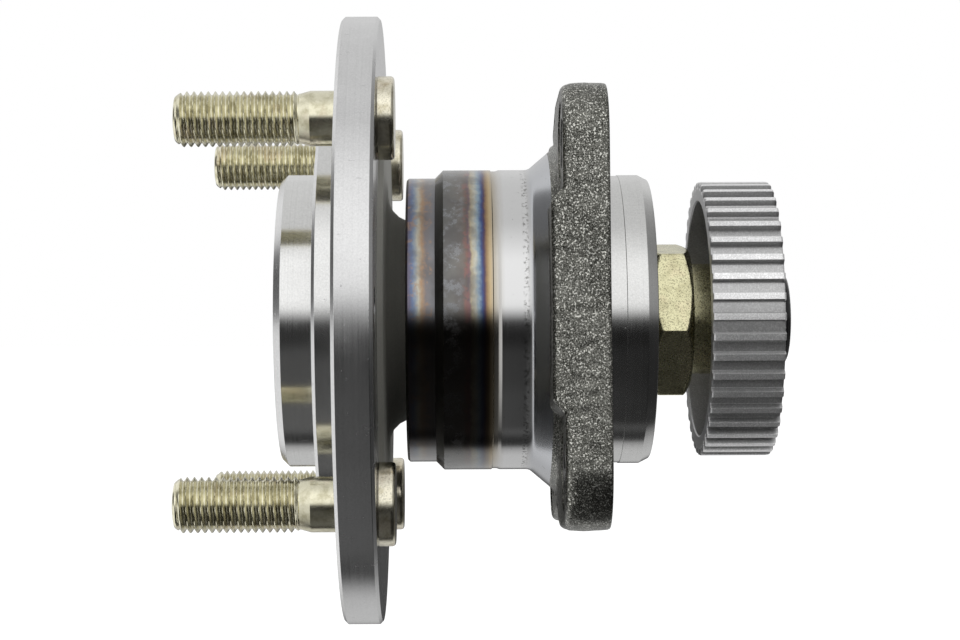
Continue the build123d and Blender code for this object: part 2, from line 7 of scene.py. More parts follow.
# %% open the frame
import math
import bpy
import numpy as np
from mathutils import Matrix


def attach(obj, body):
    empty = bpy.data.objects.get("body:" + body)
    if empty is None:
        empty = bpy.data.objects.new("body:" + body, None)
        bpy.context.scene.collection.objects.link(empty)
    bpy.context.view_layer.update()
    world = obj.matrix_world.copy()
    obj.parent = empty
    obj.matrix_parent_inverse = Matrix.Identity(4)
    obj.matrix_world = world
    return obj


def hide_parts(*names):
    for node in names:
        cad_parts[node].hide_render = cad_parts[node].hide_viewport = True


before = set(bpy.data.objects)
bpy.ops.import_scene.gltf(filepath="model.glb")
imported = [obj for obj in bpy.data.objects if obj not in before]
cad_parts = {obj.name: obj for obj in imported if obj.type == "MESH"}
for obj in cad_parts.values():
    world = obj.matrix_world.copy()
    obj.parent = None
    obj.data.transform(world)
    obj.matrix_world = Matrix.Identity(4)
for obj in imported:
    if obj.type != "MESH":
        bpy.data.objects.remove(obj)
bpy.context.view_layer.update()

# %% [markdown]
# ## Sizes
# The spin axis is X with +X inboard, +Z is up, and the origin lies in the plane of the mounting flange's
# inboard face. Clock angles run from the top towards the front, which is -Y.

# %% sizes in millimetres
MM = 0.001
COLUMNS = 240
DRILL_REACH = 2

RING_END, NOSE_END, BARREL_START = -43.0, -36.6, -34.8
NOSE_RADIUS, BARREL_RADIUS = 32.15, 33.96
CONE_START, CONE_SLOPE = -15.7, 0.85
GROOVE_START, GROOVE_END, GROOVE_DEPTH = -24.2, -22.3, 0.25
CARRIER_PILOT_RADIUS, CARRIER_PILOT_END = 32.7, 11.2
SEAL_BORE_RADIUS, SEAL_BORE_DEPTH = 29.7, 6.3
LOW_SHOULDER_RADIUS = 28.2
BALL_ROWS = (-29.5, -3.5)
PITCH_RADIUS, RACE_TUBE = 23.4, 5.36

FLANGE_CIRCLE, FLANGE_CORE, FLANGE_TURN = 49.0, 39.87, -5
NEAR_EAR, FAR_EAR = 13.0, 11.5
SHOULDER_SPREAD, SHOULDER_LIFT, SHOULDER_ROUND = 17.5, 3.3, 10.0
PARTING, DRAFT = -4.6, math.tan(math.radians(4))
NEAR_FACE, FAR_FACE, PAD_FACE = -9.8, -9.0, -12.3
CARRIER_HOLE_RADIUS, SPOT_FACE_RADIUS = 5.3, 9.0

RIM_FACE, DISC_FACE, WEB_FACE = -48.6, -57.0, -47.3
DISC_PILOT_END, WHEEL_PILOT_END = -62.3, -71.2
FLANGE_RADIUS, WEB_RADIUS = 68.5, 46.0
DISC_PILOT_RADIUS, WHEEL_PILOT_RADIUS = 45.0, 33.1
PILOT_CHAMFER, SCREW_HOLE_RADIUS, SCREW_HOLE_CLOCKS = 0.7, 3.4, (87, 267)
RECESS_FLOOR, RECESS_RADIUS, RECESS_MOUTH = -51.2, 19.5, 27.5
NECK_END, NECK_RADIUS, INNER_LAND = -37.1, 22.35, 21.9
JOURNAL_START, JOURNAL_END, JOURNAL_RADIUS = -24.34, -15.5, 18.4
SPINDLE_RADIUS, THREAD_START, THREAD_RADIUS, SPINDLE_END = 14.0, 9.6, 11.0, 33.5

STUD_CIRCLE, STUD_CLOCKS = 57.15, (42, 132, 222, 312)
STUD_TIP, STUD_PITCH = DISC_FACE - 34.1, 1.5
STUD_BODY, STUD_KNURL, STUD_HEAD, HEAD_END = 5.82, 6.38, 8.78, RIM_FACE + 3.78

HEX_START, HEX_END, SHANK_END = 11.6, 20.6, 38.6
HALF_FLATS, SHANK_RADIUS, NUT_BORE, NUT_CLOCK = 16.0, 12.5, 11.1, 38.5
TEETH, TOOTH_CLOCK, TIP_RADIUS, TOOTH_ROOT = 44, -0.7, 31.07, 29.57
CUP_START, CUP_FLOOR, CUP_BORE, CUP_WEB = 22.9, 36.2, 26.6, 31.2
CAP_RADIUS, CAP_END = 11.6, 42.9
print("overall length:", round(CAP_END - STUD_TIP, 1), "mm")

# %% [markdown]
# ## From formulas to meshes
# A surface is a grid of points: rows run along a profile and columns run round the axis. `make_piece` turns
# such a grid into a mesh, closes the seam, closes a row that has shrunk to one point, and turns the faces
# outwards by the sign of the enclosed volume.


# %% mesh helpers
def make_piece(name, grid, materials, zones=None, loop=False):
    """A mesh from grid[row, column] = (x, y, z) in millimetres.

    Face (i, j) joins rows i and i + 1 and columns j and j + 1, columns counted round the seam. zones gives
    a material number per row of faces. loop joins the last row back to the first."""
    rows, columns = grid.shape[:2]
    numbers = np.arange(rows * columns).reshape(rows, columns)
    pole = np.ptp(grid.reshape(rows, -1, 3), axis=1).max(axis=1) < 1e-9
    numbers[pole] = numbers[pole, :1]
    if loop:
        numbers = np.vstack([numbers, numbers[:1]])
        pole = np.append(pole, pole[0])
    ahead = np.roll(numbers, -1, axis=1)
    quads = np.stack([numbers[:-1], ahead[:-1], ahead[1:], numbers[1:]], axis=-1)
    zone = np.zeros(len(quads), int) if zones is None else np.asarray(zones)
    zone = np.repeat(zone[:, None], columns, axis=1)
    whole = ~(pole[:-1] | pole[1:])
    first, last = pole[:-1] & ~pole[1:], pole[1:] & ~pole[:-1]
    squares = quads[whole].reshape(-1, 4)
    opening, closing = quads[first][..., [0, 2, 3]], quads[last][..., [0, 1, 2]]
    fans = np.vstack([opening.reshape(-1, 3), closing.reshape(-1, 3)])
    slots = np.concatenate([zone[whole].ravel(), zone[first].ravel(), zone[last].ravel()])
    used, corners = np.unique(np.concatenate([squares.ravel(), fans.ravel()]), return_inverse=True)
    points = grid.reshape(-1, 3)[used] * MM
    squares, fans = corners[: squares.size].reshape(-1, 4), corners[squares.size:].reshape(-1, 3)
    triangles = np.vstack([squares[:, :3], squares[:, [0, 2, 3]], fans])
    a, b, c = (points[triangles[:, k]] for k in range(3))
    if np.einsum("ij,ij->", a, np.cross(b, c)) < 0:
        squares, fans = squares[:, ::-1], fans[:, ::-1]
    mesh = bpy.data.meshes.new(name)
    mesh.vertices.add(len(points))
    mesh.vertices.foreach_set("co", points.astype(np.float32).ravel())
    mesh.loops.add(squares.size + fans.size)
    mesh.loops.foreach_set("vertex_index", np.concatenate([squares.ravel(), fans.ravel()]).astype(np.int32))
    mesh.polygons.add(len(slots))
    starts = np.concatenate([np.arange(len(squares)) * 4, squares.size + np.arange(len(fans)) * 3])
    mesh.polygons.foreach_set("loop_start", starts.astype(np.int32))
    mesh.polygons.foreach_set("material_index", slots.astype(np.int32))
    mesh.update(calc_edges=True)
    piece = bpy.data.objects.new(name, mesh)
    bpy.context.scene.collection.objects.link(piece)
    for material in materials:
        mesh.materials.append(material)
    soften(piece)
    return piece


def soften(piece, angle=32):
    """Smooth shading, with a crease wherever two faces meet at more than the angle."""
    piece.data.shade_smooth()
    piece.data.set_sharp_from_angle(angle=math.radians(angle))


def rounded(corners, steps=5):
    """A profile through (x, radius, round, zone) corners, each corner replaced by an arc of that round.

    The arc touches both sides at round * tan(turn / 2) from the corner. A point a little further along
    each side keeps the flat beside the arc flat. The zone belongs to the side that leaves the corner."""
    points, zones = [], []
    places = [np.array(corner[:2], float) for corner in corners]
    for k, (x, radius, size, zone) in enumerate(corners):
        before, here, after = places[k - 1], places[k], places[(k + 1) % len(places)]
        if size == 0:
            points.append(here)
            zones.append(zone)
            continue
        to_before, to_after = before - here, after - here
        room = min(np.hypot(*to_before), np.hypot(*to_after))
        to_before, to_after = to_before / np.hypot(*to_before), to_after / np.hypot(*to_after)
        turn = math.pi - math.acos(np.clip(to_before @ to_after, -1, 1))
        reach = size * math.tan(turn / 2)
        centre = here + (to_before + to_after) / np.hypot(*(to_before + to_after)) * size / math.cos(turn / 2)
        support = min(0.35 * size, (room * 0.5 - reach) * 0.9)
        arc_zone = corners[k - 1][3] if size < 1 else zone
        if support > 0:
            points.append(here + to_before * (reach + support))
            zones.append(corners[k - 1][3])
        start, end = here + to_before * reach - centre, here + to_after * reach - centre
        for step in np.linspace(0, 1, steps + 1):
            mixed = start * math.sin((1 - step) * turn) + end * math.sin(step * turn)
            points.append(centre + mixed / max(math.sin(turn), 1e-9))
            zones.append(arc_zone if step < 1 else zone)
        if support > 0:
            points.append(here + to_after * (reach + support))
            zones.append(zone)
    return np.array(points), zones


def around(columns=COLUMNS):
    """The clock angle of every column, in radians."""
    return np.arange(columns) * 2 * np.pi / columns


def spin(x, radius, angle, centre=(0, 0)):
    """Points at a station, a radius and a clock angle: (x, -radius * sin(angle), radius * cos(angle))."""
    x, radius, angle = np.broadcast_arrays(x, radius, angle)
    return np.stack([x, centre[0] - radius * np.sin(angle), centre[1] + radius * np.cos(angle)], axis=-1)


def turned(name, corners, materials, columns=COLUMNS, loop=False, centre=(0, 0)):
    """A part turned on a lathe: the rounded profile spun about a line parallel to the spin axis."""
    profile, zones = rounded(corners)
    grid = spin(profile[:, :1], profile[:, 1:], around(columns)[None, :], centre)
    return make_piece(name, grid, materials, zones if loop else zones[:-1], loop)


def off_axis(radius, clock):
    """Where a circle centre at a radius and clock angle in degrees lies: (y, z)."""
    return -radius * math.sin(math.radians(clock)), radius * math.cos(math.radians(clock))


def drilled(piece, tools):
    """The piece with every tool cut out of it; the tools are used up."""
    for tool in tools:
        cut = piece.modifiers.new("cut", "BOOLEAN")
        cut.operation, cut.solver, cut.object = "DIFFERENCE", "MANIFOLD", tool
    ready = piece.evaluated_get(bpy.context.evaluated_depsgraph_get())
    mesh = bpy.data.meshes.new_from_object(ready)
    piece.modifiers.clear()
    piece.data = mesh
    for tool in tools:
        bpy.data.objects.remove(tool)
    soften(piece)
    return piece


def hole(start, end, radius, centre, chamfer=0.0, zone_material=None):
    """A drill: a cylinder between two stations that flares by the chamfer at both ends."""
    low, high = start - DRILL_REACH, end + DRILL_REACH
    flare = radius + chamfer + DRILL_REACH
    corners = [(low, 0, 0, 0), (low, flare, 0, 0), (start + chamfer, radius, 0, 0),
               (end - chamfer, radius, 0, 0), (high, flare, 0, 0), (high, 0, 0, 0)]
    if chamfer == 0:
        corners = [(low, 0, 0, 0), (low, radius, 0, 0), (high, radius, 0, 0), (high, 0, 0, 0)]
    return turned("drill", corners, [zone_material] if zone_material else [], 64, centre=centre)


print("helpers ready")

# %% [markdown]
# ## Shader arithmetic
# A `Shade` is a value on its way through a material. Plus, minus, times and divide add the matching nodes,
# and `node` adds any other one. Small functions below name the few nodes that every material uses.


# %% shader helpers
class Shade:
    """One output socket of a node tree, with arithmetic."""

    def __init__(self, tree, socket):
        self.tree, self.socket = tree, socket

    def node(self, kind, inputs, output=0, **settings):
        """Adds a node: its settings first, then a value or a link for each named or numbered input."""
        made = self.tree.nodes.new(kind)
        for name, value in settings.items():
            setattr(made, name, value)
        for name, value in inputs.items():
            if isinstance(value, Shade):
                self.tree.links.new(value.socket, made.inputs[name])
            else:
                made.inputs[name].default_value = value
        return Shade(self.tree, made.outputs[output])

    def math(self, operation, first, second=0.0):
        """A Math node with two values or links."""
        return self.node("ShaderNodeMath", {0: first, 1: second}, operation=operation)

    def __add__(self, other):
        return self.math("ADD", self, other)

    def __sub__(self, other):
        return self.math("SUBTRACT", self, other)

    def __rsub__(self, other):
        return self.math("SUBTRACT", other, self)

    def __mul__(self, other):
        return self.math("MULTIPLY", self, other)

    def __truediv__(self, other):
        return self.math("DIVIDE", self, other)

    def __rtruediv__(self, other):
        return self.math("DIVIDE", other, self)

    def __pow__(self, other):
        return self.math("POWER", self, other)

    __radd__, __rmul__ = __add__, __mul__


def smooth(value, low, high, start=0.0, end=1.0):
    """A value that eases from start to end as the input goes from low to high."""
    inputs = {"Value": value, "From Min": low, "From Max": high, "To Min": start, "To Max": end}
    return value.node("ShaderNodeMapRange", inputs, interpolation_type="SMOOTHSTEP")


def between(value, low, low_full, high_full, high):
    """1 from low_full to high_full, easing to 0 at low and at high."""
    return smooth(value, low, low_full) * smooth(value, high, high_full)


def scaled(value, low, high):
    """The number or shade scaled straight so that low gives 0 and high gives 1."""
    return (value - low) / (high - low)


def noise(place, scale, detail=2.0, rough=0.5):
    """Cloudy noise between 0 and 1, scale in waves per millimetre."""
    values = {"Vector": place, "Scale": scale, "Detail": detail, "Roughness": rough}
    return place.node("ShaderNodeTexNoise", values)


def ramp(value, stops):
    """A colour for every value between 0 and 1, through (position, colour) stops."""
    coloured = value.node("ShaderNodeValToRGB", {"Fac": value})
    band = coloured.socket.node.color_ramp
    while len(band.elements) < len(stops):
        band.elements.new(1.0)
    for element, (position, colour) in zip(band.elements, stops):
        element.position = position
        element.color = (*colour, 1)
    return coloured


def mix(factor, first, second):
    """Two colours blended by a factor between 0 and 1."""
    made = factor.node("ShaderNodeMix", {"Factor": factor}, data_type="RGBA")
    node = made.socket.node
    for socket, value in ((node.inputs[6], first), (node.inputs[7], second)):
        if isinstance(value, Shade):
            factor.tree.links.new(value.socket, socket)
        else:
            socket.default_value = (*value, 1)
    return Shade(factor.tree, node.outputs[2])


def tinted(tone, colour):
    """A colour made darker or lighter by a tone: tone * colour, channel by channel."""
    channels = {axis: tone * level for axis, level in zip("XYZ", colour)}
    return tone.node("ShaderNodeCombineXYZ", channels)


def begin(name, colour, metallic, roughness):
    """A new material: its own name, the shader, and the place on the part in millimetres."""
    material = bpy.data.materials.new(name)
    material.use_nodes = True
    tree = material.node_tree
    shader = tree.nodes["Principled BSDF"]
    shader.inputs["Base Color"].default_value = (*colour, 1)
    shader.inputs["Metallic"].default_value = metallic
    shader.inputs["Roughness"].default_value = roughness
    metres = Shade(tree, tree.nodes.new("ShaderNodeTexCoord").outputs["Object"])
    place = metres.node("ShaderNodeVectorMath", {0: metres, "Scale": 1000.0}, operation="SCALE")
    return material, shader, place


def feed(shader, **values):
    """Links shades to the shader's sockets; underscores in a name stand for spaces."""
    for name, value in values.items():
        value.tree.links.new(value.socket, shader.inputs[name.replace("_", " ")])


def axes(place):
    """x, y, z, the radius about the spin axis, and station and radius as one vector."""
    x, y, z = (place.node("ShaderNodeSeparateXYZ", {"Vector": place}, output=k) for k in range(3))
    radius = (y * y + z * z) ** 0.5
    rings = place.node("ShaderNodeCombineXYZ", {"X": x, "Y": radius})
    return x, y, z, radius, rings


def relief(height):
    """A bump whose height is given in millimetres."""
    return height.node("ShaderNodeBump", {"Height": height, "Distance": MM, "Strength": 1.0})


print("shader helpers ready")

# %% [markdown]
# ## Steel
# Turned steel carries fine rings, so its marks follow the station and the radius but not the angle. A few
# knocks and hairline scratches from handling lie across them, and the tone varies a little from place to
# place.


# %% turned and ground steel
def turned_steel(name, colour, roughness, ring_depth, scuff=0.0, metallic=1.0):
    """Steel with turning rings of a depth in millimetres and, where scuff is above 0, dull knocks."""
    material, shader, place = begin(name, colour, metallic, roughness)
    rings = axes(place)[4]
    fine = noise(rings, 5.0, 3.0, 0.6)
    broad = noise(place, 0.09, 3.0, 0.6)
    knocks = smooth(noise(place, 0.32, 5.0, 0.72), 0.66, 0.72)
    stretched = place.node("ShaderNodeVectorMath", {0: place, 1: (0.22, 1.6, 0.12)}, operation="MULTIPLY")
    hair = smooth(noise(stretched, 1.1, 2.0, 0.6), 0.70, 0.73)
    marks = (knocks * 0.7 + hair * 0.5) * scuff
    feed(shader, Roughness=roughness + (fine - 0.5) * 0.10 + (broad - 0.5) * 0.10 + marks * 0.18,
         Normal=relief((fine - 0.5) * ring_depth + (knocks * -0.02 + hair * -0.008) * scuff))
    grit = noise(place, 2.6, 2.0, 0.6)
    tone = 0.93 + (broad - 0.5) * 0.20 + (fine - 0.5) * 0.16 + (grit - 0.5) * 0.26 - marks * 0.20
    feed(shader, Base_Color=tinted(tone, colour))
    return material


hub_satin = turned_steel("hub_satin", (0.68, 0.68, 0.68), 0.24, 0.0016, 1.0)
hub_ground = turned_steel("hub_ground", (0.72, 0.72, 0.71), 0.17, 0.0007, 0.6)
hub_dark = turned_steel("hub_neck", (0.54, 0.535, 0.49), 0.52, 0.003, 0.3, 0.75)
pilot_ground = turned_steel("pilot_ground", (0.66, 0.66, 0.65), 0.18, 0.0008, 0.5)
bearing_steel = turned_steel("bearing_steel", (0.68, 0.68, 0.69), 0.10, 0.0004)
pressed_steel = turned_steel("pressed_steel", (0.42, 0.42, 0.43), 0.34, 0.002, 0.3)
print("materials so far:", len(bpy.data.materials))

# %% [markdown]
# The barrel was induction hardened, which left bands of temper colour round it. The bands are a colour ramp
# along the axis, and slow noise makes their borders wander. Blotches, a broken red fringe, painted shade over
# the lower half and small pits near the cone are mixed on top. The painted shade darkens the lower half all
# round, standing in for the dark surroundings that the lower steel mirrors.


# %% tempered barrel
def tempered_steel():
    """The barrel: temper colours by station, then polished steel up to the cone.

    Each stop is a station in millimetres and a colour. Later mixes lie over earlier ones."""
    material, shader, place = begin("tempered_barrel", (0.6, 0.6, 0.6), 1.0, 0.2)
    x, y, z, radius, rings = axes(place)
    wander = (noise(place, 0.16, 3.0, 0.6) - 0.5) * 1.5 + (noise(place, 1.1, 3.0, 0.6) - 0.5) * 0.9
    low, high = RING_END, -15.0
    station = scaled(x + wander * smooth(x, -25.0, -27.5, 0.22, 1.0), low, high)
    stops = [(-43.0, (0.14, 0.13, 0.15)), (-42.2, (0.13, 0.12, 0.17)), (-41.5, (0.13, 0.17, 0.27)),
             (-40.9, (0.24, 0.28, 0.33)), (-40.2, (0.42, 0.40, 0.33)), (-39.4, (0.34, 0.24, 0.16)),
             (-38.6, (0.20, 0.18, 0.18)), (-37.4, (0.19, 0.19, 0.20)), (-36.6, (0.17, 0.17, 0.18)),
             (-34.8, (0.15, 0.15, 0.145)), (-32.4, (0.17, 0.165, 0.155)), (-30.6, (0.18, 0.16, 0.145)),
             (-29.9, (0.17, 0.13, 0.11)), (-29.3, (0.16, 0.12, 0.14)), (-28.8, (0.42, 0.36, 0.25)),
             (-28.0, (0.46, 0.46, 0.40)), (-27.3, (0.26, 0.35, 0.42)), (-26.5, (0.06, 0.09, 0.21)),
             (-26.0, (0.09, 0.06, 0.10)), (-25.5, (0.28, 0.19, 0.11)), (-24.8, (0.48, 0.37, 0.22)),
             (-24.0, (0.42, 0.38, 0.31)), (-22.6, (0.56, 0.55, 0.53)), (-21.5, (0.62, 0.62, 0.62)),
             (-16.9, (0.62, 0.62, 0.62)), (-16.4, (0.52, 0.52, 0.52)), (-15.4, (0.48, 0.49, 0.51))]
    colour = ramp(station, [(scaled(stop, low, high), band) for stop, band in stops])
    hot = smooth(x, -23.6, -25.4)  # the heated part, up to the groove
    blotch = smooth(noise(place, 0.33, 5.0, 0.66), 0.47, 0.60) * between(x, -36.0, -34.4, -31.8, -29.5)
    patch = smooth(noise(place, 0.5, 4.0, 0.7), 0.52, 0.66) * smooth(x, -36.9, -37.6)
    dull = smooth(noise(place, 0.13, 3.0, 0.6), 0.42, 0.62) * smooth(x, -25.5, -29.0)
    colour = mix(dull * 0.6, colour, (0.115, 0.11, 0.11))
    colour = mix(blotch * 0.5, colour, (0.30, 0.31, 0.33))
    colour = mix(patch * 0.6, colour, (0.34, 0.22, 0.14))
    fringe = between(station, 0.44, 0.465, 0.485, 0.505) * smooth(noise(place, 0.45, 4.0, 0.7), 0.46, 0.56)
    colour = mix(fringe * 0.55, colour, (0.27, 0.14, 0.13))
    # painted shade: the lower half, all round and on the far side too, is darkened to near black for the dark
    # surroundings that the steel mirrors below, so it stays dark in any light
    lower_half_painted_shade = between(z, -30.0, -27.5, -3.0, 4.0) * hot
    colour = mix(lower_half_painted_shade * 0.85, colour, (0.022, 0.019, 0.016))
    # painted light: the lowest strip, all round, is plain mid grey in place of the temper colours, lighter
    # than the painted shade above it
    painted_bottom_strip = smooth(z, -27.0, -29.5) * hot  # the lowest strip is plain grey
    colour = mix(painted_bottom_strip * 0.75, colour, (0.17, 0.17, 0.165))
    # a dotted line of pits just before the cone, and a few pits elsewhere on the polished band
    scored = smooth(noise(place, 1.2, 4.0, 0.75), 0.50, 0.58) * between(x, -17.9, -17.4, -16.7, -16.2)
    scored = scored + smooth(noise(place, 0.8, 4.0, 0.75), 0.66, 0.70)
    colour = mix(scored * smooth(x, -23.0, -21.0) * 0.7, colour, (0.16, 0.16, 0.15))
    fine = noise(rings, 6.0, 3.0, 0.6)
    streak = smooth(noise(rings, 2.2, 2.0, 0.5), 0.60, 0.70) * smooth(x, -18.0, -16.2)
    polish = smooth(x, -23.5, -22.4) * smooth(x, -16.2, -16.8)
    feed(shader, Base_Color=mix(streak * 0.4, colour, (0.75, 0.75, 0.75)),
         Roughness=0.19 - polish * 0.04 + (fine - 0.5) * 0.12 + blotch * 0.10,
         Normal=relief((fine - 0.5) * 0.0012))
    return material


barrel_steel = tempered_steel()
print("barrel colours:", barrel_steel.name)

# %% [markdown]
# The mounting flange is a raw casting: dark iron with a dense grain and shallow dimples. Sparse near-white
# points are painted glints that stand for the light the grain catches as speckle.


# %% cast iron
def cast_iron():
    """Rough cast skin: a fine grain between dark and mid grey, with painted glints as near-white points,
    dimples and slow clouds.
    """
    material, shader, place = begin("cast_skin", (0.22, 0.22, 0.21), 0.9, 0.38)
    grain = noise(place, 4.2, 3.0, 0.7)
    dimple = noise(place, 2.2, 1.0, 0.5)
    cloud = noise(place, 0.12, 3.0, 0.6)
    bright = smooth(grain, 0.44, 0.62) * 0.8 + smooth(cloud, 0.35, 0.7) * 0.2
    # painted glints: sparse points of near-white colour stand for light caught by the grain
    painted_glint = smooth(noise(place, 2.7, 2.0, 0.6), 0.57, 0.64)
    skin = mix(bright, (0.022, 0.022, 0.018), (0.29, 0.29, 0.26))
    feed(shader, Base_Color=mix(painted_glint * 0.8, skin, (0.93, 0.93, 0.86)),
         Roughness=0.30 + cloud * 0.10,
         Normal=relief(dimple * 0.035 + cloud * 0.2))
    return material


cast_skin = cast_iron()
print("casting:", cast_skin.name)

# %% [markdown]
# ## Plating, plastic and rubber
# Yellow chromate on zinc is pale olive gold with a faint red blush and dark specks. The toothed ring is
# satin steel with painted shade in the gaps and on the flanks. The rest are simple surfaces with a little
# unevenness.


# %% plating and plastics
def yellow_zinc(name, grain_depth, dark, light, roughness, blush, specks):
    """Yellow passivated zinc: gold patches between a dark and a light tone, a red blush and specks."""
    material, shader, place = begin(name, light, 1.0, roughness)
    patch = noise(place, 0.35, 4.0, 0.6)
    grain = noise(place, 2.2, 3.0, 0.6)
    shimmer = smooth(noise(place, 0.18, 2.0, 0.5), 0.52, 0.64)
    colour = mix(smooth(patch, 0.25, 0.60), dark, light)
    colour = mix(shimmer * blush, colour, (0.62, 0.36, 0.30))
    speck = smooth(noise(place, 3.0, 2.0, 0.6), 0.53, 0.60)
    colour = mix(speck * specks, colour, (0.10, 0.09, 0.06))
    feed(shader, Base_Color=colour, Roughness=roughness + (grain - 0.5) * 0.2,
         Normal=relief(grain * grain_depth))
    return material


def plain(name, colour, metallic, roughness, grain_scale, grain_depth):
    """A plain surface with a fine uneven grain."""
    material, shader, place = begin(name, colour, metallic, roughness)
    grain = noise(place, grain_scale, 3.0, 0.6)
    feed(shader, Roughness=roughness + (grain - 0.5) * 0.12, Normal=relief(grain * grain_depth))
    return material


def satin_steel(name, colour, metallic, roughness):
    """Pressed and tumbled steel: mostly mirror, partly matt, with a fine sparkle of grain.

    tone = grain and clouds, times 0.62 in the gaps and times 0.65 on the flanks between root and tip:
    painted shade, where the gaps and the flanks under the lands lie in shadow."""
    material, shader, place = begin(name, colour, metallic, roughness)
    grain = noise(place, 3.0, 3.0, 0.65)
    cloud = noise(place, 0.25, 3.0, 0.6)
    radius = axes(place)[3]
    # painted shade: the colour darkens in the gaps between teeth and on the flanks, where shadow falls
    gap_painted_shade = smooth(radius, TOOTH_ROOT + 0.1, TIP_RADIUS - 0.1, 0.62, 1.0)
    flank_painted_shade = between(radius, TOOTH_ROOT + 0.05, TOOTH_ROOT + 0.3, TIP_RADIUS - 0.3, TIP_RADIUS)
    tone = (0.80 + smooth(grain, 0.40, 0.70) * 0.30 + (cloud - 0.5) * 0.16) * gap_painted_shade * (1 - flank_painted_shade * 0.35)
    feed(shader, Base_Color=tinted(tone, colour), Roughness=roughness + (grain - 0.5) * 0.16,
         Normal=relief(grain * 0.006))
    return material


stud_zinc = yellow_zinc("stud_zinc", 0.0008, (0.46, 0.43, 0.29), (0.76, 0.73, 0.56), 0.22, 0.10, 0.05)
nut_zinc = yellow_zinc("nut_zinc", 0.006, (0.50, 0.47, 0.29), (0.70, 0.67, 0.43), 0.26, 0.10, 0.55)
head_steel = yellow_zinc("head_zinc", 0.003, (0.48, 0.43, 0.29), (0.78, 0.74, 0.60), 0.22, 0.08, 0.25)
tone_steel = satin_steel("tone_steel", (0.90, 0.90, 0.90), 0.78, 0.35)
spot_dark = plain("spot_face", (0.30, 0.30, 0.29), 0.8, 0.45, 2.0, 0.006)
cap_plastic = plain("cap_plastic", (0.012, 0.012, 0.013), 0.0, 0.16, 1.5, 0.002)
seal_rubber = plain("seal_rubber", (0.02, 0.02, 0.021), 0.0, 0.55, 2.0, 0.01)
cage_plastic = plain("cage_plastic", (0.10, 0.085, 0.06), 0.0, 0.45, 1.5, 0.006)
print("materials now:", len(bpy.data.materials))

# %% [markdown]
# ## Hub
# One forging, turned all over. The profile starts on the axis inside the wheel pilot's recess, goes out
# over the pilots and the stud flange, back in along the neck, and ends at the spindle's end.


# %% hub
def hub_profile():
    """The hub's outline as (x, radius, round, zone): 0 satin, 1 ground, 2 dark neck, 3 race."""
    rim_corner, row = FLANGE_RADIUS - 0.7, BALL_ROWS[0]
    return [
        (RECESS_FLOOR, 0, 0, 2), (RECESS_FLOOR, RECESS_RADIUS, 4.0, 2),
        (WHEEL_PILOT_END, RECESS_MOUTH, 0.4, 0), (WHEEL_PILOT_END, 31.6, 0.15, 0),
        (WHEEL_PILOT_END + 1.5, WHEEL_PILOT_RADIUS, 0.2, 1), (DISC_PILOT_END, WHEEL_PILOT_RADIUS, 0.3, 0),
        (DISC_PILOT_END, DISC_PILOT_RADIUS - PILOT_CHAMFER, 0.12, 0),
        (DISC_PILOT_END + PILOT_CHAMFER, DISC_PILOT_RADIUS, 0.15, 1), (DISC_FACE, DISC_PILOT_RADIUS, 0.4, 0),
        (DISC_FACE, rim_corner, 0.15, 0), (DISC_FACE + 0.7, FLANGE_RADIUS, 0.2, 0),
        (RIM_FACE - 0.7, FLANGE_RADIUS, 0.2, 0), (RIM_FACE, rim_corner, 0.15, 0),
        (RIM_FACE, WEB_RADIUS + 1.6, 0.4, 2), (WEB_FACE, WEB_RADIUS, 0.4, 2),
        (WEB_FACE, NECK_RADIUS, 6.0, 2), (NECK_END, NECK_RADIUS, 0.1, 2), (NECK_END, INNER_LAND, 0, 3),
        (row, INNER_LAND, 0, 3), (row, PITCH_RADIUS - RACE_TUBE, 0, 3), (JOURNAL_START - 0.02, 19.6, 0, 2),
        (JOURNAL_START, JOURNAL_RADIUS, 0.1, 2), (JOURNAL_END, JOURNAL_RADIUS, 0.1, 2),
        (JOURNAL_END, SPINDLE_RADIUS, 0.3, 2), (THREAD_START - 0.8, SPINDLE_RADIUS, 0, 2),
        (THREAD_START, THREAD_RADIUS, 0, 2), (SPINDLE_END - 0.8, THREAD_RADIUS, 0, 2),
        (SPINDLE_END, THREAD_RADIUS - 0.8, 0, 2), (SPINDLE_END, 0, 0, 2),
    ]


hub = turned("hub_looks", hub_profile(), [hub_satin, hub_ground, hub_dark, bearing_steel], 288)
tools = [hole(DISC_FACE, RIM_FACE, SCREW_HOLE_RADIUS, off_axis(STUD_CIRCLE, clock), 0.5)
         for clock in SCREW_HOLE_CLOCKS]
hub = drilled(hub, tools)
print("hub faces:", len(hub.data.polygons))

# %% [markdown]
# ## Wheel studs
# The thread is a helix, so its height depends on `x / pitch - angle / turn`. The crest is a narrow flat and
# the root is rounded. Near the point and the shoulder the thread fades into the plain cone.


